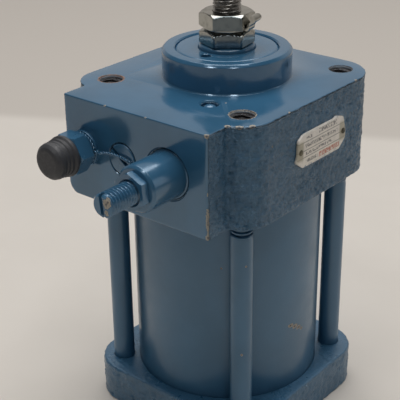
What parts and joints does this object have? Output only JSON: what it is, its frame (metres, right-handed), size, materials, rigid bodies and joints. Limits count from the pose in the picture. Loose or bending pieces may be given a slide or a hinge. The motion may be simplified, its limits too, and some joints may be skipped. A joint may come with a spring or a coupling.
{
  "type": "pneumatic cylinder",
  "caption": "Compact double-acting pneumatic cylinder with a square ported head, round barrel, tie rods and a threaded piston rod with jam nuts.",
  "frame": {"origin": "on the piston rod's axis, at the rear cover's outer face", "axes": "+Z along the rod towards its threaded end; -Y is the side with the port pad; +X is the side with the nameplate"},
  "size_m": [0.0815, 0.1195, 0.1665],
  "materials": {
    "blue_paint_cast": "semi-gloss blue enamel over a sand casting, chipped to beige filler at its edges",
    "blue_paint": "semi-gloss blue enamel over machined steel",
    "painted_wire": "twisted steel wire under blue enamel",
    "zinc_steel": "dull zinc-plated steel with dark stains",
    "chrome_rod": "hard-chromed ground rod with a cut steel thread",
    "machined_steel": "turned steel",
    "black_rubber": "nitrile rubber",
    "black_plastic": "ribbed moulded cap",
    "bronze": "sintered bronze",
    "brass": "turned brass",
    "filled_ptfe": "bronze-filled PTFE",
    "label_aluminium": "printed aluminium plate with paint on its edges",
    "rivet_aluminium": "drive rivets"
  },
  "bodies": {
    "housing": {"rear_cover": "blue_paint_cast", "barrel_tube": "blue_paint", "front_head": "blue_paint_cast", "tie_rod_1": "blue_paint", "tie_rod_2": "blue_paint", "tie_rod_3": "blue_paint", "tie_rod_4": "blue_paint", "tie_rod_washers": "zinc_steel", "rear_tube_seal": "black_rubber", "front_tube_seal": "black_rubber", "rear_bumper": "black_rubber", "front_bumper": "black_rubber", "rod_bush": "bronze", "rod_seal": "black_rubber", "rod_gland": "blue_paint", "gland_o_ring": "black_rubber", "wiper_ring": "black_rubber", "passage_ball": "blue_paint", "screw_plug": "blue_paint", "port_seal_ring": "blue_paint", "port_fitting": "blue_paint", "lock_wire": "painted_wire", "cartridge_body": "blue_paint", "cartridge_o_ring": "black_rubber", "nameplate": "label_aluminium", "nameplate_rivets": "rivet_aluminium"},
    "rod": {"piston_rod": "chrome_rod", "piston": "machined_steel", "piston_seal_front": "black_rubber", "piston_seal_rear": "black_rubber", "guide_ring": "filled_ptfe", "rod_o_ring": "black_rubber", "piston_washer": "zinc_steel", "piston_nut": "zinc_steel", "rod_nut_lower": "zinc_steel", "tab_washer": "zinc_steel", "rod_nut_upper": "zinc_steel"},
    "cap": {"port_cap": "black_plastic"},
    "needle": {"throttle_needle": "brass", "needle_o_ring": "black_rubber"},
    "adjuster": {"adjusting_screw": "blue_paint"},
    "lock_nut": {"lock_nut": "blue_paint"}
  },
  "joints": [
    {"name": "rod_stroke", "type": "slide", "parent": "housing", "child": "rod", "axis": [0, 0, 1], "range_m": [0, 0.04]},
    {"name": "needle_travel", "type": "slide", "parent": "housing", "child": "needle", "axis": [0, 1, 0], "range_m": [-0.00125, 0.00375]},
    {"name": "adjuster_turn", "type": "hinge", "parent": "needle", "child": "adjuster", "pos_m": [0.0146, -0.06, 0.1119], "axis": [0, 1, 0], "range_deg": [-360, 1080]},
    {"name": "lock_nut_turn", "type": "hinge", "parent": "housing", "child": "lock_nut", "pos_m": [0.0146, -0.0664, 0.1119], "axis": [0, 1, 0], "range_deg": [-90, 0]},
    {"name": "cap_pull", "type": "slide", "parent": "housing", "child": "cap", "axis": [0, -1, 0], "range_m": [0, 0.025]}
  ],
  "couplings": [
    {"joint": "adjuster_turn", "follows": "needle_travel", "rad_per_m": 5026.5}
  ]
}
